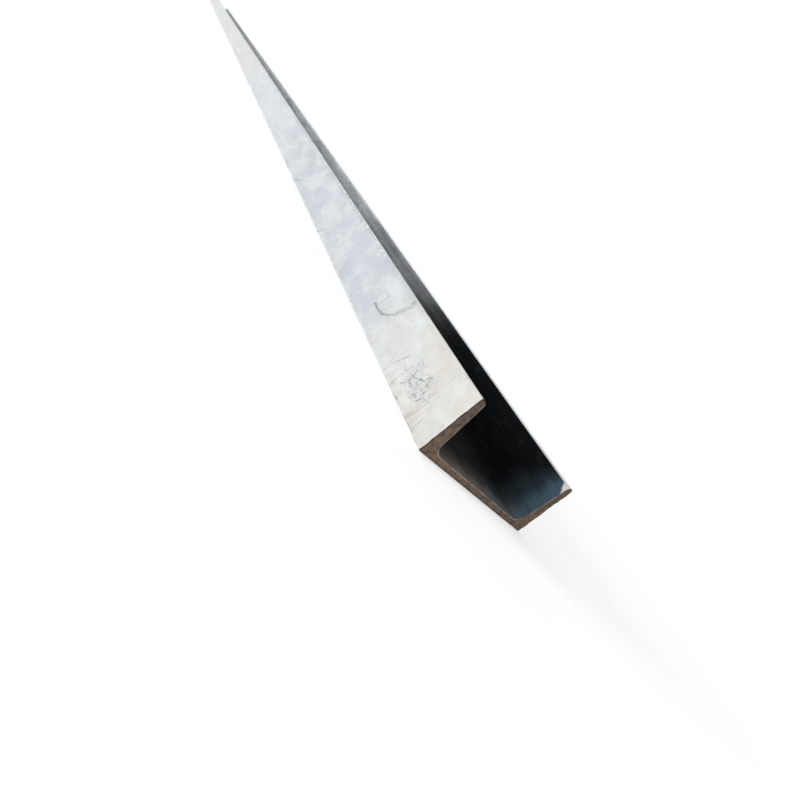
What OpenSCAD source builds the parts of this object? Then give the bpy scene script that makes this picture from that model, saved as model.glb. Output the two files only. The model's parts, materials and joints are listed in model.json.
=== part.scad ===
// Hot-rolled taper-flange steel channel: one straight length of stock.
// It lies on the back of its web with both flanges up. X runs across the depth,
// Y along the length and Z up. The origin is the middle of the back of the web.

/* [Overall] */
// Length of the piece
length = 6000; // [1000:100:12000]
// Depth of the section, over the outer faces of the two flanges
depth = 160; // [100:1:300]
// Width of a flange, from the back of the web to the toe
flange_w = 63; // [45:1:90]

/* [Walls] */
// Thickness of the web
web_t = 6.5; // [5:0.1:12]
// Thickness of a flange, halfway from the web's inner face to the toe
flange_t = 10; // [8:0.1:16]
// Slope of a flange's inner face, as its lean for each unit of flange width
flange_slope = 0.1; // [0.04:0.01:0.16]

/* [Rounding] */
// Radius of the fillet where the web runs into a flange
root_r = 10; // [5:0.5:15]
// Radius of the inner edge of a toe
toe_r = 5; // [2:0.5:8]
// Radius of the outer edges, at the heels and at the toes
edge_r = 1.5; // [0.5:0.1:2.5]

/* [Hidden] */
$fn = 96;

// Least flat between a toe's two rounded edges
toe_flat = 0.5;
// How far a cutting shape runs past the faces that it cuts
past = 5;
// How far a rounding's circle reaches over the faces that it joins. It makes the two
// cross at one clean edge, and is far too little to see or measure on the steel.
overlap = 0.0005;

// Inner face of the +X flange: its distance from the middle at a height above the back
gauge_z = (flange_w + web_t) / 2;
function inner_x(z) = depth / 2 - flange_t + flange_slope * (z - gauge_z);

// Centre of a circle that lies beside that face, at a height and a distance from it,
// and the nearest point of the face to a centre. A positive distance is in the steel.
slant = sqrt(1 + pow(flange_slope, 2));
function beside(z, distance) = [inner_x(z) + distance * slant, z];
function nearest(centre, distance) =
    centre + distance / slant * [-1, flange_slope];

// Root fillet, in the hollow between the web's inner face and the flange's
root_gap = root_r - overlap;
root_centre = beside(web_t + root_gap, -root_gap);
root_end = nearest(root_centre, -root_gap);

// Toe rounding, in the steel between the flange's inner face and the toe's flat.
// The toe's own thickness limits its radius.
toe_t = depth / 2 - inner_x(flange_w);
toe_room = (toe_t - edge_r - toe_flat) / (slant - flange_slope);
toe_fit_r = min(toe_r, toe_room);
toe_gap = toe_fit_r - overlap;
toe_centre = beside(flange_w - toe_gap, toe_gap);
toe_start = nearest(toe_centre, toe_gap);

// Height of the open side of each cutting shape, clear of the toes
mouth_z = flange_w + past;

// Outer outline, square on every side with its four edges eased
module outer_outline() {
    easy_x = depth / 2 - edge_r;
    easy_z = flange_w / 2 - edge_r;
    translate([0, flange_w / 2]) {
        square([2 * easy_x, flange_w], center = true);
        square([depth, 2 * easy_z], center = true);
        for (x = [-easy_x, easy_x], z = [-easy_z, easy_z])
            translate([x, z]) circle(r = edge_r);
    }
}

// Hollow between the flanges: tapered sides that run into round roots
module trough() {
    polygon([
        [-root_centre.x, web_t],
        [root_centre.x, web_t],
        root_end,
        [inner_x(mouth_z), mouth_z],
        [-inner_x(mouth_z), mouth_z],
        [-root_end.x, root_end.y],
    ]);
    for (side = [-1, 1])
        translate([side * root_centre.x, root_centre.y]) circle(r = root_r);
}

// What the rounding takes off the inner edge of the +X toe
module toe_corner() {
    difference() {
        polygon([
            toe_start,
            toe_centre,
            [toe_centre.x, mouth_z],
            [inner_x(mouth_z) - past, mouth_z],
        ]);
        translate(toe_centre) circle(r = toe_fit_r);
    }
}

// Rolled section, drawn with its web along X and its flanges along Y
module section() {
    difference() {
        outer_outline();
        trough();
        toe_corner();
        mirror([1, 0]) toe_corner();
    }
}

// The channel: the section rolled straight and cut square at both ends
module steel_channel() {
    color([0.63, 0.65, 0.66])
        rotate([90, 0, 0])
            linear_extrude(height = length, center = true) section();
}

steel_channel();
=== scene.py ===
"""Looks of one straight length of hot-rolled steel channel with tapered flanges.

The bar lies on the back of its web. X runs across the depth, Y along the length and
Z up. Lengths are in metres unless a name ends in _mm.
"""

import json
import math

import bmesh
import bpy
from bpy.props import FloatProperty, FloatVectorProperty, IntProperty, PointerProperty
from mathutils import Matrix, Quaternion, Vector, noise


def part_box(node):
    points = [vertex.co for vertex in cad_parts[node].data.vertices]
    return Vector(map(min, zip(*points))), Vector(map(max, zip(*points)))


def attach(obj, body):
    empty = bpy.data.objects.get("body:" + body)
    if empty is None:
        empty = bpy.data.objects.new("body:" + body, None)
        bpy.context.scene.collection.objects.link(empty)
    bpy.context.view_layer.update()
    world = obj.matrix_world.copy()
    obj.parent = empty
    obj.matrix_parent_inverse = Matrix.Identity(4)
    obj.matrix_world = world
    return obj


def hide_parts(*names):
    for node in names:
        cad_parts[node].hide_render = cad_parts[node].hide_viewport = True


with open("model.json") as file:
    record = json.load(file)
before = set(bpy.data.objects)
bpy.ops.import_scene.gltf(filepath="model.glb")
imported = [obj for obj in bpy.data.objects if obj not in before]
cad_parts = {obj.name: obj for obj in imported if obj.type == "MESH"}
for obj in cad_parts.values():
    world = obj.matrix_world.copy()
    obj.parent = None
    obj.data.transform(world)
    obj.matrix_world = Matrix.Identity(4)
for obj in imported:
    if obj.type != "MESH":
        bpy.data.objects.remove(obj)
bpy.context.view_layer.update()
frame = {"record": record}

bl_info = {
    "name": "Rolled steel channel",
    "version": (1, 0, 0),
    "blender": (4, 5, 0),
    "location": "View3D > Sidebar > Steel",
    "description": "Makes a weathered length of steel channel and the stage it lies on",
    "category": "Add Mesh",
}

# the CAD node that the bar stands for
NODE = "steel_channel"

LOW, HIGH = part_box(NODE)
HALF_DEPTH = HIGH.x
FLANGE_W = HIGH.z
FRONT, BACK = LOW.y, HIGH.y
MM = 0.001

# places of the three finishes in the bar's list of materials
OUTSIDE, INSIDE, CUT = range(3)
# what the mesh carries: which side of a cut's edge a point is on, from 1 at the outer edge to
# -1 at the inner one, how far round the section a point lies, and the flat map
ARRIS = "arris"
AROUND = "around"
MAP = "OFBake"

# Scratches on the -X flange's outer face, by mm from the front cut and mm above the web's
# back: the points of each, its width in mm, how strongly it shows and how broken it is.
SCRATCHES = (
    (((214, 24), (200, 24), (188, 26)), 3.2, 0.80, 0.35),
    (((188, 26), (179, 30), (171, 37)), 2.6, 0.64, 0.45),
    (((171, 38), (167, 45), (163, 53), (163, 59)), 6.5, 0.50, 0.85),
    (((196, 28), (187, 31), (188, 36), (183, 39)), 1.0, 0.35, 0.4),
    (((166, 39), (157, 36), (147, 33)), 1.2, 0.22, 0.4),
    (((177, 28), (163, 34)), 0.9, 0.25, 0.5),
    (((112, 2), (110, 8), (110, 15)), 1.1, 0.50, 0.5),
    (((108, 17), (107, 22), (103, 28)), 1.9, 0.60, 0.6),
    (((80, 30), (77, 25), (76, 20)), 1.4, 0.62, 0.7),
    (((76, 20), (77, 16), (80, 11)), 1.8, 0.62, 0.8),
    (((73, 25), (67, 28), (62, 30), (58, 38)), 1.8, 0.74, 0.7),
    (((62, 30), (52, 31)), 1.2, 0.58, 0.8),
    (((73, 18), (68, 18)), 3.0, 0.66, 0.7),
    (((65, 23), (61, 24)), 2.0, 0.40, 0.8),
    (((58, 16), (53, 17)), 2.6, 0.56, 0.7),
    (((60, 35), (56, 34)), 1.8, 0.42, 0.8),
    (((49, 15), (47, 20)), 2.2, 0.62, 0.6),
    (((49, 23), (49, 27)), 1.6, 0.52, 0.7),
    (((44, 28), (40, 32)), 1.4, 0.40, 0.8),
    (((38, 7), (37, 13), (37, 24)), 0.9, 0.50, 0.5),
    (((41, 50), (40, 55)), 1.4, 0.30, 0.3),
    (((15, 16), (12, 23)), 0.8, 0.30, 0.6),
    (((7, 21), (5, 28)), 0.8, 0.30, 0.6),
    (((466, 0), (460, 3), (454, 9)), 3.0, 0.50, 0.4),
    (((694, 3), (686, 7), (676, 10)), 4.0, 0.45, 0.4),
)
# The rusty trickle on the same face, a thin core and a faint wide stain: points in mm, width
# in mm and strength.
TRICKLES = (
    (((40, 0), (38, 10), (36, 25)), 1.1, 0.25),
    (((40, 0), (38, 10)), 12, 0.13),
)
# The crazed patch on the same face: its middle, and its half sizes along X, Y and Z.
CRAZED_AT = (-HALF_DEPTH, FRONT + 0.066, 0.025)
CRAZED_REACH = (0.020, 0.040, 0.019)


def mount_height(name):
    """Height of one of the record's flat faces."""
    faces = {mount["name"]: mount for mount in frame["record"]["mounts"]}
    return faces[name]["pos_m"][2]


def linear(code):
    """Turns an sRGB hex colour into the linear values that Blender works in."""
    shares = [int(code[at:at + 2], 16) / 255 for at in (1, 3, 5)]
    return [c / 12.92 if c <= 0.04045 else ((c + 0.055) / 1.055) ** 2.4 for c in shares]


def length_of(name, about, default, low=0.0, high=1.0):
    """A length that a user can change."""
    return FloatProperty(name=name, description=about, default=default, min=low, max=high,
                         precision=5, subtype="DISTANCE", unit="LENGTH")


def angle_of(name, about, degrees):
    """An angle that a user can change."""
    return FloatProperty(name=name, description=about, default=math.radians(degrees),
                         subtype="ANGLE", unit="ROTATION")


def colour_of(name, about, code):
    """A colour that a user can change."""
    return FloatVectorProperty(name=name, description=about, default=linear(code),
                               min=0.0, max=1.0, size=3, subtype="COLOR")


class BarSizes(bpy.types.PropertyGroup):
    """Sizes of the rolled section and of its cut ends."""

    web_t: length_of("Web thickness", "Thickness of the web", mount_height("web_inside"))
    flange_t: length_of(
        "Flange thickness", "Thickness halfway from the web's inner face to the toe", 0.010)
    flange_slope: FloatProperty(
        name="Flange slope", description="Lean of a flange's inner face", default=0.1)
    root_r: length_of("Root radius", "Fillet between the web and a flange", 0.010)
    toe_r: length_of("Toe radius", "Rounding of a toe's inner edge", 0.005)
    edge_r: length_of("Edge radius", "Rounding of the heels and of the toes' outer edges", 0.0015)
    lip: length_of("Cut lip", "Width of the bruised lip round a cut end", 0.00045)
    rim: length_of("Cut rim", "Width of the rim inside the lip", 0.0010)
    ragged: length_of("Ragged edge", "How far a cut edge wanders from the true cut", 0.0010)
    nick: length_of("Nick depth", "Depth of the knocks along the heels and toes", 0.0011)
    wave: length_of("Rolling wave", "Depth of the slow waves in the rolled faces", 0.00014)
    step: length_of("Mesh step", "Spacing of the mesh near the cut ends", 0.0027)
    fine_length: length_of("Fine stretch", "Length of evenly fine mesh at each end", 0.26)
    growth: FloatProperty(
        name="Growth", description="Growth of the ring spacing from one stretch to the next",
        default=1.5, min=1.1, max=3.0)
    rings: IntProperty(
        name="Rings", description="Rings in each stretch past the fine one",
        default=11, min=1, max=100)
    map_room: FloatProperty(
        name="Map room", description="Extra room that the ends get on the flat map",
        default=0.3, min=0.0, max=2.0)


class BarFinish(bpy.types.PropertyGroup):
    """Colours of the steel's surfaces."""

    pale: colour_of("Pale scale", "Weathered scale near the cut ends", "#cfd1ce")
    cool: colour_of("Cool scale", "Weathered scale along most of the bar", "#cbd1d4")
    lilac: colour_of("Lilac scale", "Bluer stretches of the weathered scale", "#bfc4cb")
    # also used for a painted patch of sunlight at the +X toe by the front cut
    warm: colour_of("Warm scale", "Patches with the first bloom of rust", "#d1cbc4")
    wisp: colour_of("Wisps", "Thin pale wisps over the scale", "#d9dedd")
    tint: colour_of("Rust tint", "Beige stain by the cut ends and edges", "#cdb8a2")
    blush: colour_of("Blush", "Pink-brown stain that runs from a heel", "#cf9f92")
    mark: colour_of("Marks", "Bottom of a scratch or crack in the pale scale", "#6f7476")
    # used for pale chips along the toes, and as a painted highlight along the heels
    bright: colour_of("Bright edge", "Edges rubbed pale by handling", "#e4e6e5")
    slate: colour_of("Slate scale", "Sheltered scale low in the trough", "#6c747a")
    # also used for a band of painted shade along the outer faces of the toes
    dull: colour_of("Dull scale", "Scale near the toes, where weather reaches in", "#9a9fa1")
    fleck: colour_of("Flecks", "Where the sheltered scale has flaked", "#b4b9ba")
    speck: colour_of("Specks", "Spots of rust in the sheltered scale", "#6d5547")
    # painted shade: near-black that stands for the deep shade in the trough behind the front cut
    shade_black: colour_of("Soot", "Scale blackened by the smoke of the hot cut", "#090b0d")
    # painted shade with a painted blue sky reflection: the next two colours stand for the shaded
    # flanges inside the trough by the front cut
    blue_shade: colour_of("Heat tint", "Blue-grey that the hot cut drew low on the scale", "#506672")
    deep_blue_shade: colour_of("Deep heat tint", "Deeper blue of the same, by the toes", "#384b58")
    # painted shade: darkens the roots, where the web meets the flanges
    root_shade: colour_of("Grime", "Dirt that has settled in the roots", "#1f2327")
    dust: colour_of("Dust", "Brown-grey dust on the web at the front cut", "#5b534b")
    ash: colour_of("Ash", "Greyer dust towards the +X flange", "#4f565a")
    taupe: colour_of("Taupe rust", "Rust of the cut ends", "#7f6c5e")
    umber: colour_of("Umber rust", "Darker rust of the cut ends", "#5d4e43")
    orange: colour_of("Orange rust", "Fresher rust of the cut ends", "#8d6a4c")
    # painted shade along the cut's outer lip
    edge_shade: colour_of("Cut edge", "Dark outer edge of the cut", "#2b2521")
    arris: colour_of("Inner arris", "Paler inner edge of the cut", "#9a8f85")


class StageSettings(bpy.types.PropertyGroup):
    """Camera, lamps and floor."""

    lens: FloatProperty(name="Lens", description="Focal length in mm", default=26.7)
    beside: length_of("Beside", "How far the camera is from the middle of the web", 0.385)
    before: length_of("Before", "How far the camera is in front of the cut end", 0.322)
    above: length_of("Above", "Height of the camera above the floor", 0.105)
    heading: angle_of("Heading", "Turn of the view from +Y towards +X", 38.4)
    tilt: angle_of("Tilt", "How far the view looks down", 11.65)
    roll: angle_of("Roll", "Turn of the camera to its left about the line of sight", 50.3)
    fill: FloatProperty(name="Fill", description="Strength of the even light", default=0.72)
    key: FloatProperty(name="Key", description="Strength of the low soft lamp", default=1.7)
    key_from: FloatVectorProperty(
        name="Key from", description="Direction from the bar to the lamp",
        default=(-0.95, 0.22, 0.14), size=3, subtype="DIRECTION")
    softness: angle_of("Softness", "Angle that the lamp fills, as seen from the bar", 16)
    board: colour_of("Board", "Colour of the floor, as it lights the bar", "#e6e6e6")
    floor_radius: length_of("Floor radius", "Radius of the floor", 60.0, 1.0, 500.0)
    fade_from: length_of(
        "Fade from", "How far out the floor starts to run into the background", 3.5, 0.0, 100.0)
    lift: FloatProperty(
        name="Lift", description="How far the camera sees the floor lifted to white",
        default=0.205)


# ---- the bar's mesh


def inner_x(sizes, z):
    """Distance of a flange's inner face from the middle, at a height above the web's back."""
    gauge_z = (FLANGE_W + sizes.web_t) / 2
    return HALF_DEPTH - sizes.flange_t + sizes.flange_slope * (z - gauge_z)


def round_corner(bm, corner, radius, segments):
    """Rounds one corner of the flat section to a radius."""
    arms = [edge.other_vert(corner).co - corner.co for edge in corner.link_edges]
    reach = radius / math.tan(arms[0].angle(arms[1]) / 2)
    bmesh.ops.bevel(bm, geom=[corner], offset=reach, offset_type="OFFSET", segments=segments,
                    profile=0.5, affect="VERTICES", material=-1)


def draw_section(bm, sizes):
    """Draws the section at the front end as a ring of edges, and returns them."""
    toe_x = inner_x(sizes, FLANGE_W)
    root_x = inner_x(sizes, sizes.web_t)
    right = [
        (HALF_DEPTH, 0, sizes.edge_r, 5),
        (HALF_DEPTH, FLANGE_W, sizes.edge_r, 5),
        (toe_x, FLANGE_W, sizes.toe_r, 6),
        (root_x, sizes.web_t, sizes.root_r, 9),
    ]
    left = [(-x, z, radius, segments) for x, z, radius, segments in reversed(right)]
    outline = right + left
    corners = [bm.verts.new((x, FRONT, z)) for x, z, _, _ in outline]
    bm.faces.new(corners)
    for corner, (_, _, radius, segments) in zip(corners, outline):
        round_corner(bm, corner, radius, segments)
    bmesh.ops.delete(bm, geom=bm.faces[:], context="FACES_ONLY")
    for edge in bm.edges[:]:
        cuts = math.ceil(edge.calc_length() / sizes.step) - 1
        if cuts > 0:
            bmesh.ops.subdivide_edges(bm, edges=[edge], cuts=cuts)
    return bm.edges[:]


def measure_round(bm):
    """Notes on each point of the section how far round it lies from the middle of the
    web's back, and returns the whole way round."""
    around = bm.verts.layers.float.new(AROUND)
    start = min(bm.verts, key=lambda vert: abs(vert.co.x) + vert.co.z)
    vert, edge, gone = start, start.link_edges[0], 0.0
    while True:
        gone += edge.calc_length()
        vert = edge.other_vert(vert)
        if vert == start:
            return gone
        vert[around] = gone
        edge = next(other for other in vert.link_edges if other != edge)


def stretches(sizes):
    """Ends of the bar's stretches along Y, and how many cuts each gets: fine at both
    ends, and coarser from one stretch to the next towards the middle."""
    middle = (BACK - FRONT) / 2
    reach, step = sizes.fine_length, sizes.step
    found = [(reach, round(reach / step) - 1)]
    while reach < middle:
        step *= sizes.growth
        end = min(reach + sizes.rings * step, middle)
        found.append((end, max(round((end - reach) / step) - 1, 0)))
        reach = end
    front_half = [(FRONT + end, cuts) for end, cuts in found]
    starts = [0.0] + [end for end, _ in found[:-1]]
    back_half = [(BACK - start, cuts) for start, (_, cuts) in zip(starts, found)]
    return front_half + back_half[::-1]


def roll_out(bm, ring, sizes):
    """Carries the section to the back end, stretch by stretch, and cuts each into rings. A
    copy and a bridge keep the same order each time, which an extrusion doesn't."""
    for end, cuts in stretches(sizes):
        corners = {vert: None for edge in ring for vert in edge.verts}
        copied = bmesh.ops.duplicate(bm, geom=[*corners, *ring])["geom"]
        verts = [item for item in copied if isinstance(item, bmesh.types.BMVert)]
        ahead = [item for item in copied if isinstance(item, bmesh.types.BMEdge)]
        bmesh.ops.translate(bm, verts=verts, vec=(0, end - verts[0].co.y, 0))
        lengthwise = bmesh.ops.bridge_loops(bm, edges=ring + ahead)["edges"]
        if cuts:
            bmesh.ops.subdivide_edges(bm, edges=lengthwise, cuts=cuts)
        ring = ahead
    return ring


def part_sides(bm, facing=0.7):
    """Gives the faces in the trough their own finish. It starts in the middle of the toe
    roundings, where a face turns to the middle by more than the share given."""
    for face in bm.faces:
        middle = face.calc_center_median()
        towards_middle = -face.normal.x * math.copysign(1, middle.x)
        in_trough = towards_middle > facing or (face.normal.z > 0 and middle.z < FLANGE_W / 2)
        face.material_index = INSIDE if in_trough else OUTSIDE


def cut_faces(bm, few=8):
    """Both cut faces, the only ones with more than a few corners."""
    return [face for face in bm.faces if len(face.verts) > few]


def cut_ends(bm, loops, sizes):
    """Closes both ends, with a bruised lip and a rim round each cut face."""
    arris = bm.verts.layers.float.new(ARRIS)
    caps = []
    for loop in loops:
        caps += bmesh.ops.edgeloop_fill(bm, edges=loop)["faces"]
    for cap in caps:
        cap.material_index = CUT
    bmesh.ops.recalc_face_normals(bm, faces=bm.faces[:])
    edges = [edge for loop in loops for edge in loop]
    lips = bmesh.ops.bevel(bm, geom=edges, offset=sizes.lip, offset_type="OFFSET", segments=1,
                           profile=0.5, affect="EDGES", material=CUT)["faces"]
    for lip in lips:
        sides = [face.material_index for edge in lip.edges for face in edge.link_faces]
        value = -1.0 if INSIDE in sides else 1.0
        for vert in lip.verts:
            vert[arris] = value
    rim = min(sizes.rim, sizes.edge_r - sizes.lip)
    bmesh.ops.inset_region(bm, faces=cut_faces(bm), thickness=rim, use_even_offset=True)
    for cap in cut_faces(bm):
        for vert in cap.verts:
            vert[arris] = 0.0


def put_in_order(bm):
    """Sorts the faces by their three lowest points, because bevels and triangulation make
    theirs in another order each time."""
    bm.verts.index_update()
    count = len(bm.verts)

    def place(face):
        first, second, third = sorted(vert.index for vert in face.verts)[:3]
        return (first * count + second) * count + third

    bm.faces.sort(key=place)
    bm.faces.index_update()


def unroll(bm, sizes, girth):
    """Lays the skin out flat on a map of its own: three lengths side by side, the front
    one the widest, and both cut faces beside them. The ends get more room than the middle."""
    flat = bm.loops.layers.uv.new(MAP)
    around = bm.verts.layers.float[AROUND]
    columns = ((0.005, 0.37), (0.380, 0.235), (0.620, 0.235))
    gap = 0.03
    cut_left, cut_size, front_low, back_low = 0.860, 0.34, 0.01, 0.50
    for face in bm.faces:
        middle = face.calc_center_median()
        if face.material_index == CUT:
            low = front_low if middle.y < 0 else back_low
            for loop in face.loops:
                x, _, z = loop.vert.co
                loop[flat].uv = (cut_left + cut_size * z / (2 * HALF_DEPTH),
                                 low + cut_size * (x + HALF_DEPTH) / (2 * HALF_DEPTH))
            continue
        column = min(int(len(columns) * along_map(middle.y, sizes)), len(columns) - 1)
        left, width = columns[column]
        turns = [loop.vert[around] / girth for loop in face.loops]
        over_seam = max(turns) - min(turns) > 0.5
        for loop, turn in zip(face.loops, turns):
            if over_seam and turn < 0.5:
                turn += 1
            along = len(columns) * along_map(loop.vert.co.y, sizes) - column
            loop[flat].uv = (left + width * turn, gap + (1 - 2 * gap) * along)


def along_map(y, sizes, crowding=7):
    """Place along the flat map, from 0 at the front end to 1 at the back end. The higher the
    crowding, the closer to the ends their extra room lies."""
    share = y / BACK
    return 0.5 + 0.5 * (share + sizes.map_room * share ** crowding) / (1 + sizes.map_room)


def swing(place, size, seed):
    """Smooth noise from 0 to 1, of a size along each of a place's three measures."""
    scaled = Vector([at / wide for at, wide in zip(place, size)])
    return 0.5 + 0.5 * noise.noise(scaled + Vector((seed, 1.7 * seed, 2.3 * seed)))


def fade(value, start, end):
    """Runs smoothly from 0 at start to 1 at end."""
    share = min(max((value - start) / (end - start), 0.0), 1.0)
    return share * share * (3 - 2 * share)


def rolled_wave(vert, sizes, from_end):
    """Move into the steel for the slow waves of the rolls, and for scabs near the ends."""
    wave = swing(vert.co, (0.05, 0.22, 0.05), 3.0)
    scab = swing(vert.co, (0.011, 0.014, 0.011), 8.0) * fade(from_end, 0.5, 0.2)
    return -vert.normal * sizes.wave * (0.7 * wave + 0.3 * scab) * fade(from_end, 0, 0.01)


def knock(vert, sizes):
    """Move into the steel where a heel or the outer edge of a toe has been knocked."""
    x, y, z = vert.co
    edge_gap = math.hypot(HALF_DEPTH - abs(x), min(z, FLANGE_W - z))
    at_edge = fade(edge_gap, 0.0042, 0.0012)
    if at_edge == 0:
        return Vector()
    side = math.copysign(1, x)
    up = 1 if z < FLANGE_W / 2 else -1
    dent = fade(swing((side, y, up), (1, 0.010, 1), 5.0), 0.60, 0.78)
    dent *= fade(swing((side, y, up), (1, 0.055, 1), 6.0), 0.42, 0.60)
    dent += 0.35 * fade(swing((side, y, up), (1, 0.004, 1), 7.0), 0.62, 0.85)
    return Vector((-side, 0, up)).normalized() * sizes.nick * dent * at_edge


def ragged_cut(vert, sizes, from_end):
    """How far a point by a cut moves along the bar. The flanges wander more than the web, and
    a cut's outer edge more than its inner one."""
    near = fade(from_end, 0.008, 0.0)
    if near == 0:
        return 0.0
    x, y, z = vert.co
    inward = 1 if y < 0 else -1
    rag = 0.35 * fade(swing((x, inward, z), (0.012, 1, 0.012), 11.0), 0.44, 0.54)
    rag += 0.50 * fade(swing((x, inward, z), (0.004, 1, 0.004), 12.0), 0.40, 0.60)
    share = 0.45 + 0.55 * fade(abs(x), 0.060, 0.070)
    from_skin = max(HALF_DEPTH - abs(x), 0) if z > sizes.flange_t else z
    share *= 1 - 0.75 * fade(from_skin, 0.003, 0.0055)
    return inward * sizes.ragged * rag * share * near


def wear_bar(bm, sizes):
    """Slow waves of the rolls, knocks along the edges and ragged cuts, all into the steel."""
    bm.normal_update()
    moves = []
    for vert in bm.verts:
        from_end = min(vert.co.y - FRONT, BACK - vert.co.y)
        move = rolled_wave(vert, sizes, from_end)
        move += knock(vert, sizes)
        move.y += ragged_cut(vert, sizes, from_end)
        moves.append((vert, move))
    for vert, move in moves:
        vert.co += move


def mark_hard_edges(bm, limit=math.radians(32)):
    """Smooths the faces, but for a hard edge where two meet at more than the limit."""
    for face in bm.faces:
        face.smooth = True
    for edge in bm.edges:
        edge.smooth = edge.calc_face_angle(0.0) < limit


def build_bar(sizes):
    """The whole bar as one closed mesh."""
    bm = bmesh.new()
    front = draw_section(bm, sizes)
    girth = measure_round(bm)
    back = roll_out(bm, front, sizes)
    bmesh.ops.recalc_face_normals(bm, faces=bm.faces[:])
    part_sides(bm)
    cut_ends(bm, (front, back), sizes)
    unroll(bm, sizes, girth)
    wear_bar(bm, sizes)
    bmesh.ops.remove_doubles(bm, verts=bm.verts[:], dist=0.01 * MM)
    bmesh.ops.triangulate(bm, faces=[face for face in bm.faces if len(face.verts) > 4])
    put_in_order(bm)
    bmesh.ops.recalc_face_normals(bm, faces=bm.faces[:])
    if not all(edge.is_manifold for edge in bm.edges):
        raise RuntimeError("The bar's skin isn't closed: check the sizes of the section")
    mark_hard_edges(bm)
    mesh = bpy.data.meshes.new("channel_bar")
    bm.to_mesh(mesh)
    bm.free()
    return mesh


# ---- materials


# sockets of a Mix node that mixes colours, by number because several share each name
MIX_A, MIX_B, MIX_OUT = 6, 7, 2
WHITE = (1.0, 1.0, 1.0, 1.0)


def add(tree, kind, sockets=None, out=0, **settings):
    """Adds a node with its settings, fills its sockets with values or links, and returns
    one of its outputs."""
    node = tree.nodes.new(kind)
    for name, value in settings.items():
        setattr(node, name, value)
    for key, value in (sockets or {}).items():
        if isinstance(value, bpy.types.NodeSocket):
            tree.links.new(value, node.inputs[key])
        else:
            node.inputs[key].default_value = value
    return node.outputs[out] if node.outputs else None


def new_material(name):
    """A node material with an empty tree, and that tree."""
    material = bpy.data.materials.new(name)
    material.use_nodes = True
    material.node_tree.nodes.clear()
    return material, material.node_tree


def cloud(tree, place, across, along, detail=3, seed=0, twist=0):
    """Noise with blobs so many mm wide across the faces and so many long along the bar. The
    seed shifts it, so that two clouds of one size don't match."""
    spread = add(tree, "ShaderNodeMapping", {
        "Vector": place, "Location": (seed, 0.7 * seed, 1.3 * seed),
        "Scale": (1 / (across * MM), 1 / (along * MM), 1 / (across * MM))})
    return add(tree, "ShaderNodeTexNoise", {
        "Vector": spread, "Scale": 1.0, "Detail": detail, "Distortion": twist}, out="Fac")


def meet(tree, *shares):
    """The share where all of some shares meet. Each is a value, or a value with the two
    ends between which it fades in smoothly."""
    found = 1.0
    for share in shares:
        if isinstance(share, tuple):
            value, start, end = share
            share = add(tree, "ShaderNodeMapRange", {
                "Value": value, "From Min": start, "From Max": end},
                interpolation_type="SMOOTHSTEP")
        found = add(tree, "ShaderNodeMath", {0: found, 1: share}, operation="MULTIPLY")
    return found


def lay(tree, under, over, *shares):
    """A colour laid over another where all of some shares meet."""
    return add(tree, "ShaderNodeMix", {
        0: meet(tree, *shares), MIX_A: under, MIX_B: (*over, 1.0)},
        out=MIX_OUT, data_type="RGBA")


def shade(tree, colour, value, start, end, low, high):
    """A colour made darker and lighter as a value runs from start to end."""
    factor = add(tree, "ShaderNodeMapRange", {
        "Value": value, "From Min": start, "From Max": end, "To Min": low, "To Max": high},
        interpolation_type="SMOOTHSTEP")
    return add(tree, "ShaderNodeVectorMath", {0: colour, "Scale": factor}, operation="SCALE")


def shaken(tree, place, size, reach):
    """A place moved about by noise of a size in mm, by up to a reach along X, Y and Z."""
    noise_colour = add(tree, "ShaderNodeTexNoise", {
        "Vector": place, "Scale": 1 / (size * MM), "Detail": 2.0}, out="Color")
    centred = add(tree, "ShaderNodeVectorMath", {0: noise_colour, 1: (0.5, 0.5, 0.5)},
                  operation="SUBTRACT")
    return add(tree, "ShaderNodeVectorMath", {
        0: centred, 1: [share * MM for share in reach], 2: place}, operation="MULTIPLY_ADD")


def stroke(tree, place, points_mm, width_mm):
    """Share of a stroke through points on the -X flange's outer face, given by mm from the
    front cut and mm above the web's back."""
    points = [Vector((-HALF_DEPTH, FRONT + along * MM, up * MM)) for along, up in points_mm]
    nearest = None
    for start, end in zip(points, points[1:]):
        run = end - start
        offset = add(tree, "ShaderNodeVectorMath", {0: place, 1: start}, operation="SUBTRACT")
        reached = add(tree, "ShaderNodeVectorMath", {0: offset, 1: run}, out="Value",
                      operation="DOT_PRODUCT")
        share = add(tree, "ShaderNodeMapRange", {
            "Value": reached, "From Max": run.length_squared})
        foot = add(tree, "ShaderNodeVectorMath", {0: run, "Scale": share}, operation="SCALE")
        gap = add(tree, "ShaderNodeVectorMath", {0: offset, 1: foot}, out="Value",
                  operation="DISTANCE")
        if nearest is not None:
            gap = add(tree, "ShaderNodeMath", {0: nearest, 1: gap}, operation="MINIMUM")
        nearest = gap
    return meet(tree, (nearest, 0.75 * width_mm * MM, 0.15 * width_mm * MM))


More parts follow.
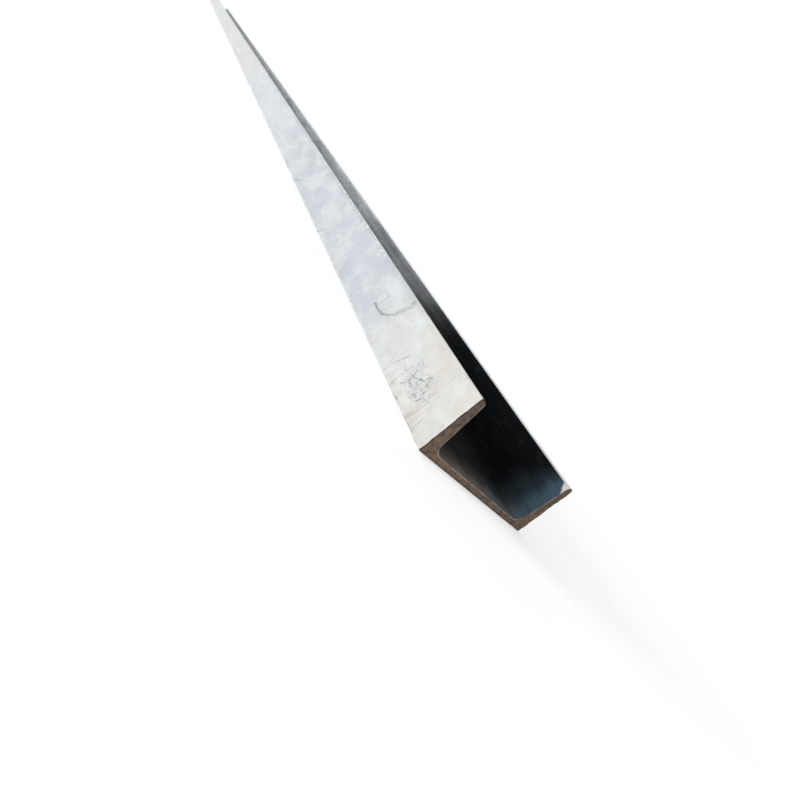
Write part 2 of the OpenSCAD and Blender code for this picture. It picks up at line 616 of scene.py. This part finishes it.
def tone_along(tree, place, colours, end_gap, front_gap):
    """Tone of the weathered scale along the bar: pale by the cuts, then lilac for a stride,
    then cool and pale again, with drifts in the lilac and faint warm patches outside it."""
    colour = lay(tree, (*colours.pale, 1.0), colours.cool, (end_gap, 0.10, 0.35))
    stretch = meet(tree, (front_gap, 0.12, 0.27), (front_gap, 1.15, 0.75))
    elsewhere = meet(tree, (cloud(tree, place, 200, 800, detail=2, seed=5), 0.52, 0.64), 0.8)
    lilac = add(tree, "ShaderNodeMath", {0: stretch, 1: elsewhere}, operation="MAXIMUM")
    drifting = cloud(tree, place, 36, 110, detail=5, seed=2, twist=1.2)
    drift = add(tree, "ShaderNodeMapRange", {
        "Value": drifting, "From Min": 0.38, "From Max": 0.60, "To Min": 0.54},
        interpolation_type="SMOOTHSTEP")
    colour = lay(tree, colour, colours.lilac, lilac, drift)
    colour = lay(tree, colour, colours.pale, (front_gap, 1.25, 2.10), 0.80)
    away = add(tree, "ShaderNodeMath", {0: 1.0, 1: stretch}, operation="SUBTRACT")
    warmth = cloud(tree, place, 60, 240, seed=9)
    colour = lay(tree, colour, colours.warm, (warmth, 0.50, 0.66), away, 0.30)
    return lay(tree, colour, colours.warm, (end_gap, 0.12, 0.02), 0.35)


def cloud_over(tree, place, colours, colour):
    """Pale wisps and darker clouds of 20 to 80 mm, patches brushed across the roll, and a
    mottle."""
    wisps = cloud(tree, place, 24, 60, detail=5, seed=6, twist=0.5)
    colour = lay(tree, colour, colours.wisp, (wisps, 0.44, 0.68), 0.60)
    clouds = cloud(tree, place, 34, 90, detail=5, seed=12, twist=0.5)
    colour = shade(tree, colour, clouds, 0.32, 0.66, 0.965, 1.02)
    brushed = cloud(tree, place, 20, 11, detail=5, seed=26, twist=1.4)
    patches = meet(tree, (cloud(tree, place, 50, 110, seed=33), 0.42, 0.60))
    colour = lay(tree, colour, colours.wisp, (brushed, 0.50, 0.66), patches, 0.45)
    colour = lay(tree, colour, colours.lilac, (brushed, 0.48, 0.34), patches, 0.30)
    mottle = cloud(tree, place, 7, 9, detail=5, seed=16, twist=0.3)
    return shade(tree, colour, mottle, 0.30, 0.70, 0.965, 1.03)


def weather_edges(tree, place, colours, colour, up, end_gap, front_gap):
    """A beige bloom a hand's breadth from the cuts and along the heels, a duller band of painted
    shade with chips along the toes, and a painted highlight along the heels."""
    bloom = cloud(tree, place, 22, 30, detail=4, seed=4)
    colour = lay(tree, colour, colours.tint, (bloom, 0.44, 0.68), (end_gap, 0.15, 0.0), 0.22)
    heel_rust = cloud(tree, place, 16, 60, detail=4, seed=21)
    colour = lay(tree, colour, colours.tint, (heel_rust, 0.50, 0.70), (up, 0.014, 0.002), 0.20)
    # a band of painted shade along the toes' outer rounding, broken up by noise
    toe_shade_breakup = cloud(tree, place, 12, 90, detail=4, seed=14)
    by_toe = meet(tree, (up, FLANGE_W - 0.008, FLANGE_W - 0.002))
    colour = lay(tree, colour, colours.dull, by_toe, (toe_shade_breakup, 0.25, 0.60), 0.34)
    chips = cloud(tree, place, 4, 8, detail=4, seed=37)
    chipped = meet(tree, (up, FLANGE_W - 0.008, FLANGE_W - 0.003), (front_gap, 0.16, 0.32))
    colour = lay(tree, colour, colours.bright, (chips, 0.52, 0.64), chipped, 0.50)
    colour = lay(tree, colour, colours.mark, (chips, 0.46, 0.36), chipped, 0.30)
    # a painted highlight along the heels, broken up by noise
    rubbed = cloud(tree, place, 10, 30, detail=4, seed=3)
    return lay(tree, colour, colours.bright, (up, 0.0030, 0.0008), (rubbed, 0.30, 0.50), 0.9)


def crack_across(tree, place, colours, colour, up, end_gap, front_gap):
    """Broken hair cracks across the roll, 2 to 5 mm apart, and the share of them. They are
    about half a millimetre wide, five times the real width, so that they show."""
    wavy = cloud(tree, place, 70, 3.4, detail=2, seed=3, twist=0.5)
    level = add(tree, "ShaderNodeMath", {0: wavy, 1: 0.5}, operation="SUBTRACT")
    height = add(tree, "ShaderNodeMath", {0: level}, operation="ABSOLUTE")
    hair = meet(tree, (height, 0.024, 0.0), (cloud(tree, place, 16, 30, seed=7), 0.50, 0.64))
    smoother = meet(tree, (up, 0.028, 0.044), (front_gap, 0.16, 0.10), 0.75)
    kept = add(tree, "ShaderNodeMath", {0: 1.0, 1: smoother}, operation="SUBTRACT")
    hair = meet(tree, hair, kept)
    more = add(tree, "ShaderNodeMapRange", {
        "Value": end_gap, "From Min": 0.25, "From Max": 0.05, "To Min": 0.18, "To Max": 0.32})
    colour = lay(tree, colour, colours.mark, hair, more)
    by_heel = meet(tree, (up, 0.032, 0.014), (front_gap, 0.014, 0.028), (front_gap, 0.13, 0.09))
    gathered = meet(tree, (cloud(tree, place, 9, 14, seed=43), 0.40, 0.56))
    colour = lay(tree, colour, colours.mark, (height, 0.036, 0.004), by_heel, gathered, 0.34)
    return colour, hair


def craze_patch(tree, place, colours, colour):
    """A crazed and pitted patch near the front cut, with cells of 5 to 9 mm whose lines swell
    and fade, and the share of its lines."""
    spread = add(tree, "ShaderNodeMapping", {
        "Vector": place, "Location": [-at / far for at, far in zip(CRAZED_AT, CRAZED_REACH)],
        "Scale": [1 / far for far in CRAZED_REACH]})
    off_centre = add(tree, "ShaderNodeVectorMath", {0: spread}, out="Value", operation="LENGTH")
    squeezed = add(tree, "ShaderNodeMapping", {
        "Vector": shaken(tree, place, 8, (2, 2, 2)),
        "Scale": (1 / (12 * MM), 1 / (10 * MM), 1 / (12 * MM))})
    cells = add(tree, "ShaderNodeTexVoronoi", {"Vector": squeezed, "Scale": 1.0},
                out="Distance", feature="DISTANCE_TO_EDGE")
    swell = add(tree, "ShaderNodeMapRange", {
        "Value": cloud(tree, place, 7, 8, seed=5), "From Min": 0.46, "From Max": 0.66,
        "To Min": 0.004, "To Max": 0.16})
    crazed = meet(tree, (cells, swell, 0.0), (off_centre, 1.10, 0.50))
    colour = lay(tree, colour, colours.lilac, (off_centre, 1.1, 0.2), 0.08)
    colour = lay(tree, colour, colours.mark, crazed, 0.32)
    pits = cloud(tree, place, 2.4, 2.8, detail=1, seed=41)
    colour = lay(tree, colour, colours.mark, (pits, 0.62, 0.72), (off_centre, 1.05, 0.40), 0.50)
    return colour, crazed


def scratch_face(tree, place, colours, colour):
    """Scratches from handling and a rusty trickle from the heel."""
    wandering = shaken(tree, shaken(tree, place, 9, (0, 4, 4)), 1.2, (0, 1.4, 1.4))
    fray = cloud(tree, place, 2.2, 2.2, seed=31)
    for points, width, strength, broken in SCRATCHES:
        whole = add(tree, "ShaderNodeMapRange", {
            "Value": fray, "From Min": 0.42, "From Max": 0.58, "To Min": 1 - broken},
            interpolation_type="SMOOTHSTEP")
        share = stroke(tree, wandering, points, width)
        colour = lay(tree, colour, colours.mark, share, whole, strength)
    for points, width, strength in TRICKLES:
        share = stroke(tree, wandering, points, width)
        colour = lay(tree, colour, colours.blush, share, strength)
    return colour


def weathered_scale(colours):
    """Hot-rolled mill scale that has stood out in the weather: matt, pale and cloudy, with
    fine cracks across the roll, a few dark scratches and a beige bloom by the cut ends."""
    material, tree = new_material("weathered_mill_scale")
    place = add(tree, "ShaderNodeTexCoord", out="Object")
    _, along, up = add(tree, "ShaderNodeSeparateXYZ", {0: place}).node.outputs
    front_gap = add(tree, "ShaderNodeMath", {0: along, 1: FRONT}, operation="SUBTRACT")
    off_middle = add(tree, "ShaderNodeMath", {0: along}, operation="ABSOLUTE")
    end_gap = add(tree, "ShaderNodeMath", {0: BACK, 1: off_middle}, operation="SUBTRACT")

    colour = tone_along(tree, place, colours, end_gap, front_gap)
    colour = cloud_over(tree, place, colours, colour)
    colour = weather_edges(tree, place, colours, colour, up, end_gap, front_gap)
    colour, hair = crack_across(tree, place, colours, colour, up, end_gap, front_gap)
    colour, crazed = craze_patch(tree, place, colours, colour)
    colour = scratch_face(tree, place, colours, colour)

    grit = cloud(tree, place, 1.2, 1.2, seed=1)
    relief = add(tree, "ShaderNodeMath", {0: grit, 1: 0.35}, operation="MULTIPLY")
    for dent, depth in ((hair, 0.4), (crazed, 0.8)):
        dent = add(tree, "ShaderNodeMath", {0: dent, 1: depth}, operation="MULTIPLY")
        relief = add(tree, "ShaderNodeMath", {0: relief, 1: dent}, operation="SUBTRACT")
    bump = add(tree, "ShaderNodeBump", {"Height": relief, "Strength": 0.6, "Distance": 0.35 * MM})
    worn = cloud(tree, place, 12, 20, detail=4, seed=8)
    rough = add(tree, "ShaderNodeMapRange", {
        "Value": worn, "From Min": 0.3, "From Max": 0.7, "To Min": 0.50, "To Max": 0.66})
    shader = add(tree, "ShaderNodeBsdfPrincipled", {
        "Base Color": colour, "Metallic": 0.15, "Roughness": rough, "Normal": bump})
    add(tree, "ShaderNodeOutputMaterial", {"Surface": shader})
    return material


def tone_in_trough(tree, place, colours, up):
    """Tone of the sheltered scale, and the noise of its flakes: slate low down and duller by
    the toes, cloudy and scuffed, with scratches, spots of rust and rubbed toes."""
    clouded = cloud(tree, place, 16, 55, detail=4, seed=5)
    uneven = add(tree, "ShaderNodeMath", {0: clouded, 1: 0.024, 2: up},
                 operation="MULTIPLY_ADD")
    colour = lay(tree, (*colours.slate, 1.0), colours.dull, (uneven, 0.030, 0.066))
    long_clouds = cloud(tree, place, 26, 160, detail=4, seed=3, twist=0.6)
    colour = shade(tree, colour, long_clouds, 0.32, 0.68, 0.80, 1.16)
    scuffs = cloud(tree, place, 9, 22, detail=5, seed=7, twist=1.2)
    colour = shade(tree, colour, scuffs, 0.34, 0.66, 0.88, 1.10)
    flaked = cloud(tree, place, 8, 22, detail=6, seed=11, twist=0.4)
    colour = lay(tree, colour, colours.fleck, (flaked, 0.56, 0.68), 0.30)
    scratched = cloud(tree, place, 1.1, 85, detail=2, seed=17)
    colour = lay(tree, colour, colours.fleck, (scratched, 0.62, 0.72), 0.34)
    rusty = cloud(tree, place, 3.5, 6, detail=4, seed=2)
    rusty_areas = meet(tree, (cloud(tree, place, 40, 120, seed=23), 0.44, 0.60))
    colour = lay(tree, colour, colours.speck, (rusty, 0.60, 0.68), rusty_areas, 0.60)
    by_toe = meet(tree, (up, FLANGE_W - 0.010, FLANGE_W - 0.003))
    handled = cloud(tree, place, 10, 40, detail=4, seed=27)
    colour = lay(tree, colour, colours.fleck, by_toe, (handled, 0.35, 0.60), 0.60)
    return colour, flaked


def shade_in_roots(tree, place, sizes, across, up, front_gap):
    """Share of the painted shade in the roots, where the web's face meets each flange's. There is
    none at the front cut."""
    aside = add(tree, "ShaderNodeMath", {0: across}, operation="ABSOLUTE")
    root_x = inner_x(sizes, sizes.web_t)
    sideways = add(tree, "ShaderNodeMath", {0: root_x, 1: aside}, operation="SUBTRACT")
    above = add(tree, "ShaderNodeMath", {0: up, 1: sizes.web_t}, operation="SUBTRACT")
    from_root = add(tree, "ShaderNodeCombineXYZ", {0: sideways, 1: above})
    from_root = add(tree, "ShaderNodeVectorMath", {0: from_root}, out="Value", operation="LENGTH")
    settled = cloud(tree, place, 9, 70, detail=4, seed=19)
    return meet(tree, (from_root, 0.014, 0.006), (settled, 0.20, 0.50),
                (front_gap, 0.008, 0.026))


def blue_shade_and_dust(tree, colours, colour, across, up, front_gap, low_down):
    """Close by the front cut: painted shade on the flanges, blue-grey with a painted blue sky
    reflection and deeper towards the toes, and brown dust on the web, greyer towards +X."""
    close_by = meet(tree, (front_gap, 0.12, 0.04))
    blue_shaded = meet(tree, close_by, (up, 0.007, 0.012))
    colour = lay(tree, colour, colours.blue_shade, blue_shaded)
    colour = lay(tree, colour, colours.deep_blue_shade, blue_shaded, (up, 0.016, 0.058))
    dusty = meet(tree, close_by, low_down)
    colour = lay(tree, colour, colours.dust, dusty)
    return lay(tree, colour, colours.ash, dusty, (across, -0.010, 0.050))


def paint_trough_shade(tree, place, colours, colour, across, up, front_gap, low_down, flaked):
    """Painted shade: near-black laid over the trough's scale where deep shade would fall, and the
    share of it. It starts some 20 mm in, sooner by the toes and on the web towards -X, and thins
    out from 0.2 to 0.8 m."""
    by_toe = add(tree, "ShaderNodeMapRange", {
        "Value": up, "From Min": 0.036, "From Max": 0.056, "To Min": 1.0, "To Max": 1.4})
    reached = add(tree, "ShaderNodeMath", {0: front_gap, 1: by_toe}, operation="MULTIPLY")
    billows = cloud(tree, place, 16, 60, detail=4, seed=9)
    near = add(tree, "ShaderNodeMath", {0: billows, 1: 0.030, 2: reached},
               operation="MULTIPLY_ADD")
    hurry = add(tree, "ShaderNodeMapRange", {
        "Value": across, "From Min": -0.050, "From Max": 0.030, "To Min": 0.012,
        "To Max": 0.001})
    near = add(tree, "ShaderNodeMath", {0: low_down, 1: hurry, 2: near},
               operation="MULTIPLY_ADD")
    trails = cloud(tree, place, 24, 260, detail=5, seed=29)
    far = add(tree, "ShaderNodeMath", {0: trails, 1: 0.60, 2: front_gap},
              operation="MULTIPLY_ADD")
    thinning = meet(tree, (far, 1.10, 0.48))
    colour = lay(tree, colour, colours.shade_black, (near, 0.022, 0.042), thinning, 0.65)
    painted_shade = meet(tree, (near, 0.027, 0.072), thinning)
    colour = lay(tree, colour, colours.shade_black, painted_shade)
    colour = lay(tree, colour, colours.slate, (flaked, 0.52, 0.70), painted_shade, 0.035)
    return colour, painted_shade


def paint_sun_patch(tree, place, colours, colour, across, up, front_gap):
    """A painted patch of sunlight at the +X flange's toe, at the front cut."""
    ragged = cloud(tree, place, 4, 4, seed=13)
    edge = add(tree, "ShaderNodeMath", {0: ragged, 1: 0.004, 2: front_gap},
               operation="MULTIPLY_ADD")
    corner = add(tree, "ShaderNodeMath", {0: up, 1: edge}, operation="SUBTRACT")
    return lay(tree, colour, colours.warm, (corner, 0.0490, 0.0525), (across, 0.0, 0.010), 0.9)


def sheltered_scale(sizes, colours):
    """Mill scale that the flanges have sheltered: slate grey with a faint sheen and rolled
    streaks,
    duller towards the toes, with painted shade in the roots, and painted shade by the front cut:
    blue-grey with a painted blue sky reflection on the flanges, and near-black further in."""
    material, tree = new_material("sheltered_mill_scale")
    place = add(tree, "ShaderNodeTexCoord", out="Object")
    across, along, up = add(tree, "ShaderNodeSeparateXYZ", {0: place}).node.outputs
    front_gap = add(tree, "ShaderNodeMath", {0: along, 1: FRONT}, operation="SUBTRACT")
    low_down = meet(tree, (up, 0.014, 0.0075))

    colour, flaked = tone_in_trough(tree, place, colours, up)
    root_shade_share = shade_in_roots(tree, place, sizes, across, up, front_gap)
    # painted shade in the roots
    colour = lay(tree, colour, colours.root_shade, root_shade_share, 0.75)
    # painted shade by the front cut: blue-grey on the flanges, with a painted blue sky reflection
    colour = blue_shade_and_dust(tree, colours, colour, across, up, front_gap, low_down)
    # painted shade: near-black further into the trough behind the front cut
    colour, painted_shade = paint_trough_shade(
        tree, place, colours, colour, across, up, front_gap, low_down, flaked)
    rolled = cloud(tree, place, 2.6, 300, seed=5)
    colour = shade(tree, colour, rolled, 0.36, 0.64, 0.93, 1.06)
    streaks = cloud(tree, place, 5, 260, seed=15)
    colour = shade(tree, colour, streaks, 0.34, 0.66, 0.92, 1.08)
    # a painted patch of sunlight at the +X toe by the front cut
    colour = paint_sun_patch(tree, place, colours, colour, across, up, front_gap)

    grit = cloud(tree, place, 1.4, 2.0, seed=1)
    relief = add(tree, "ShaderNodeMath", {0: flaked, 1: grit}, operation="ADD")
    bump = add(tree, "ShaderNodeBump", {"Height": relief, "Strength": 0.6, "Distance": 0.3 * MM})
    worn = cloud(tree, place, 14, 30, detail=4, seed=8)
    rough = add(tree, "ShaderNodeMapRange", {
        "Value": worn, "From Min": 0.3, "From Max": 0.7, "To Min": 0.44, "To Max": 0.62})
    # the painted shade in the roots and behind the front cut is quite matt
    matt = add(tree, "ShaderNodeMath", {0: painted_shade, 1: root_shade_share}, operation="MAXIMUM")
    rough = add(tree, "ShaderNodeMapRange", {"Value": matt, "To Min": rough, "To Max": 0.95})
    shader = add(tree, "ShaderNodeBsdfPrincipled", {
        "Base Color": colour, "Metallic": 0.05, "Roughness": rough, "Specular IOR Level": 0.07,
        "Normal": bump})
    add(tree, "ShaderNodeOutputMaterial", {"Surface": shader})
    return material


def rusted_cut(colours):
    """Saw-cut steel gone to thin brown rust: dull and powdery, with fine saw lines, painted shade
    along the outer edge and a paler inner arris."""
    material, tree = new_material("rusted_saw_cut")
    place = add(tree, "ShaderNodeTexCoord", out="Object")
    across, _, up = add(tree, "ShaderNodeSeparateXYZ", {0: place}).node.outputs
    side = add(tree, "ShaderNodeAttribute", out="Fac", attribute_name=ARRIS)

    brown = cloud(tree, place, 5.5, 5.5, detail=4, seed=2)
    colour = lay(tree, (*colours.umber, 1.0), colours.taupe, (brown, 0.36, 0.62))
    fresh = cloud(tree, place, 11, 11, detail=4, seed=7)
    colour = lay(tree, colour, colours.orange, (fresh, 0.50, 0.68), 0.6)

    # saw lines that slant across the section, about a millimetre apart: ten times coarser
    # than real ones, so that they show
    turned = add(tree, "ShaderNodeMapping", {
        "Vector": place, "Rotation": (0, math.radians(24), 0),
        "Scale": (1 / (45 * MM), 1 / (45 * MM), 1 / (1.1 * MM))})
    saw = add(tree, "ShaderNodeTexNoise", {
        "Vector": turned, "Scale": 1.0, "Detail": 3.0}, out="Fac")
    colour = shade(tree, colour, saw, 0.35, 0.65, 0.87, 1.10)

    # painted shade along the outer edge, and a paler inner arris, both broken
    broken = cloud(tree, place, 6, 6, seed=5)
    colour = lay(tree, colour, colours.edge_shade, (side, 0.10, 0.75), (broken, 0.05, 0.45), 0.9)
    worn = cloud(tree, place, 7, 7, detail=4, seed=19)
    colour = lay(tree, colour, colours.arris, (side, -0.02, -0.50), (worn, 0.30, 0.62), 0.80)

    # duller towards the toes and towards +X, in step with blotches of a centimetre
    blotched = cloud(tree, place, 10, 10, seed=17)
    toeward = add(tree, "ShaderNodeMath", {0: blotched, 1: 0.030, 2: up},
                  operation="MULTIPLY_ADD")
    colour = shade(tree, colour, toeward, 0.026, 0.070, 1.0, 0.78)
    colour = shade(tree, colour, across, -HALF_DEPTH, HALF_DEPTH, 1.06, 0.92)

    grain = cloud(tree, place, 1.2, 1.2, detail=4, seed=1)
    relief = add(tree, "ShaderNodeMath", {0: saw, 1: 0.8, 2: grain}, operation="MULTIPLY_ADD")
    bump = add(tree, "ShaderNodeBump", {"Height": relief, "Strength": 0.8, "Distance": 0.4 * MM})
    shader = add(tree, "ShaderNodeBsdfPrincipled", {
        "Base Color": colour, "Metallic": 0.0, "Roughness": 0.82, "Normal": bump})
    add(tree, "ShaderNodeOutputMaterial", {"Surface": shader})
    return material


# ---- the stage


def floor_material(stage):
    """Matt white board. The camera sees it run into the white background far away."""
    material, tree = new_material("matt_white_board")
    place = add(tree, "ShaderNodeTexCoord", out="Object")
    seen_by = add(tree, "ShaderNodeLightPath").node.outputs
    board = add(tree, "ShaderNodeBsdfDiffuse", {"Color": (*stage.board, 1.0)})
    white = add(tree, "ShaderNodeBsdfDiffuse", {"Color": WHITE})
    lift = add(tree, "ShaderNodeEmission", {"Strength": stage.lift})
    near = add(tree, "ShaderNodeAddShader", {0: white, 1: lift})
    beyond = add(tree, "ShaderNodeEmission", {"Strength": 1.0})
    apart = add(tree, "ShaderNodeVectorMath", {0: place}, out="Value", operation="LENGTH")
    far = meet(tree, (apart, stage.fade_from, 0.5 * stage.floor_radius))
    seen = add(tree, "ShaderNodeMixShader", {0: far, 1: near, 2: beyond})
    shown = add(tree, "ShaderNodeMixShader", {0: seen_by["Is Camera Ray"], 1: board, 2: seen})
    add(tree, "ShaderNodeOutputMaterial", {"Surface": shown})
    return material


def make_floor(stage):
    """A round pale floor under the bar."""
    bm = bmesh.new()
    bmesh.ops.create_circle(bm, cap_ends=True, segments=64, radius=stage.floor_radius)
    mesh = bpy.data.meshes.new("floor")
    bm.to_mesh(mesh)
    bm.free()
    floor = bpy.data.objects.new("floor", mesh)
    bpy.context.scene.collection.objects.link(floor)
    mesh.materials.append(floor_material(stage))


def make_light(stage):
    """Even white light all round, and one low soft lamp on the -X side."""
    world = bpy.data.worlds.new("studio")
    world.use_nodes = True
    tree = world.node_tree
    tree.nodes.clear()
    seen_by = add(tree, "ShaderNodeLightPath").node.outputs
    seen = seen_by["Is Camera Ray"]
    for ray in ("Is Glossy Ray", "Is Transmission Ray"):
        seen = add(tree, "ShaderNodeMath", {0: seen, 1: seen_by[ray]}, operation="MAXIMUM")
    strength = add(tree, "ShaderNodeMapRange", {
        "Value": seen, "To Min": stage.fill, "To Max": 1.0})
    light = add(tree, "ShaderNodeBackground", {"Color": WHITE, "Strength": strength})
    add(tree, "ShaderNodeOutputWorld", {"Surface": light})
    bpy.context.scene.world = world
    lamp = bpy.data.lights.new("key", "SUN")
    lamp.energy = stage.key
    lamp.angle = stage.softness
    sun = bpy.data.objects.new("key", lamp)
    sun.rotation_mode = "QUATERNION"
    sun.rotation_quaternion = Vector(stage.key_from).to_track_quat("Z", "Y")
    bpy.context.scene.collection.objects.link(sun)


def make_camera(stage):
    """A hand-held camera close to the front cut end, rolled to its left."""
    data = bpy.data.cameras.new("camera")
    data.lens = stage.lens
    data.sensor_width = 36.0
    data.clip_start = 0.01
    data.clip_end = 200.0
    camera = bpy.data.objects.new("camera", data)
    camera.location = (-stage.beside, FRONT - stage.before, stage.above)
    ahead = Vector((
        math.sin(stage.heading) * math.cos(stage.tilt),
        math.cos(stage.heading) * math.cos(stage.tilt),
        -math.sin(stage.tilt)))
    level = ahead.to_track_quat("-Z", "Y")
    camera.rotation_mode = "QUATERNION"
    camera.rotation_quaternion = level @ Quaternion((0, 0, 1), stage.roll)
    bpy.context.scene.collection.objects.link(camera)
    bpy.context.scene.camera = camera


# ---- operators and panel


class MakeBar(bpy.types.Operator):
    """Make the channel bar with its worn edges and three finishes"""

    bl_idname = "steel.make_bar"
    bl_label = "Make channel bar"

    def execute(self, context):
        sizes = context.scene.steel_bar_sizes
        colours = context.scene.steel_bar_finish
        mesh = build_bar(sizes)
        mesh.materials.append(weathered_scale(colours))
        mesh.materials.append(sheltered_scale(sizes, colours))
        mesh.materials.append(rusted_cut(colours))
        bar = bpy.data.objects.new("channel_bar", mesh)
        context.scene.collection.objects.link(bar)
        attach(bar, "root")
        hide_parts(NODE)
        return {"FINISHED"}


class MakeStage(bpy.types.Operator):
    """Make the floor, the light and the camera"""

    bl_idname = "steel.make_stage"
    bl_label = "Make stage"

    def execute(self, context):
        stage = context.scene.steel_stage
        make_camera(stage)
        make_floor(stage)
        make_light(stage)
        context.scene.view_settings.view_transform = "Standard"
        return {"FINISHED"}


class SteelPanel(bpy.types.Panel):
    """Lists the makers and their settings"""

    bl_idname = "VIEW3D_PT_steel"
    bl_label = "Steel channel"
    bl_space_type = "VIEW_3D"
    bl_region_type = "UI"
    bl_category = "Steel"

    def draw(self, context):
        scene = context.scene
        for operator, settings in (
                (MakeBar, (scene.steel_bar_sizes, scene.steel_bar_finish)),
                (MakeStage, (scene.steel_stage,))):
            box = self.layout.box()
            box.operator(operator.bl_idname)
            for group in settings:
                for name in group.__annotations__:
                    box.prop(group, name)


CLASSES = (BarSizes, BarFinish, StageSettings, MakeBar, MakeStage, SteelPanel)


def register():
    """Registers the classes, and gives the scene their settings."""
    for cls in CLASSES:
        bpy.utils.register_class(cls)
    bpy.types.Scene.steel_bar_sizes = PointerProperty(type=BarSizes)
    bpy.types.Scene.steel_bar_finish = PointerProperty(type=BarFinish)
    bpy.types.Scene.steel_stage = PointerProperty(type=StageSettings)


def unregister():
    """Takes the settings and the classes away again."""
    del bpy.types.Scene.steel_stage
    del bpy.types.Scene.steel_bar_finish
    del bpy.types.Scene.steel_bar_sizes
    for cls in reversed(CLASSES):
        bpy.utils.unregister_class(cls)


def main():
    """Makes the stage and the bar."""
    register()
    bpy.ops.steel.make_stage()
    bpy.ops.steel.make_bar()


if __name__ == "__main__":
    main()
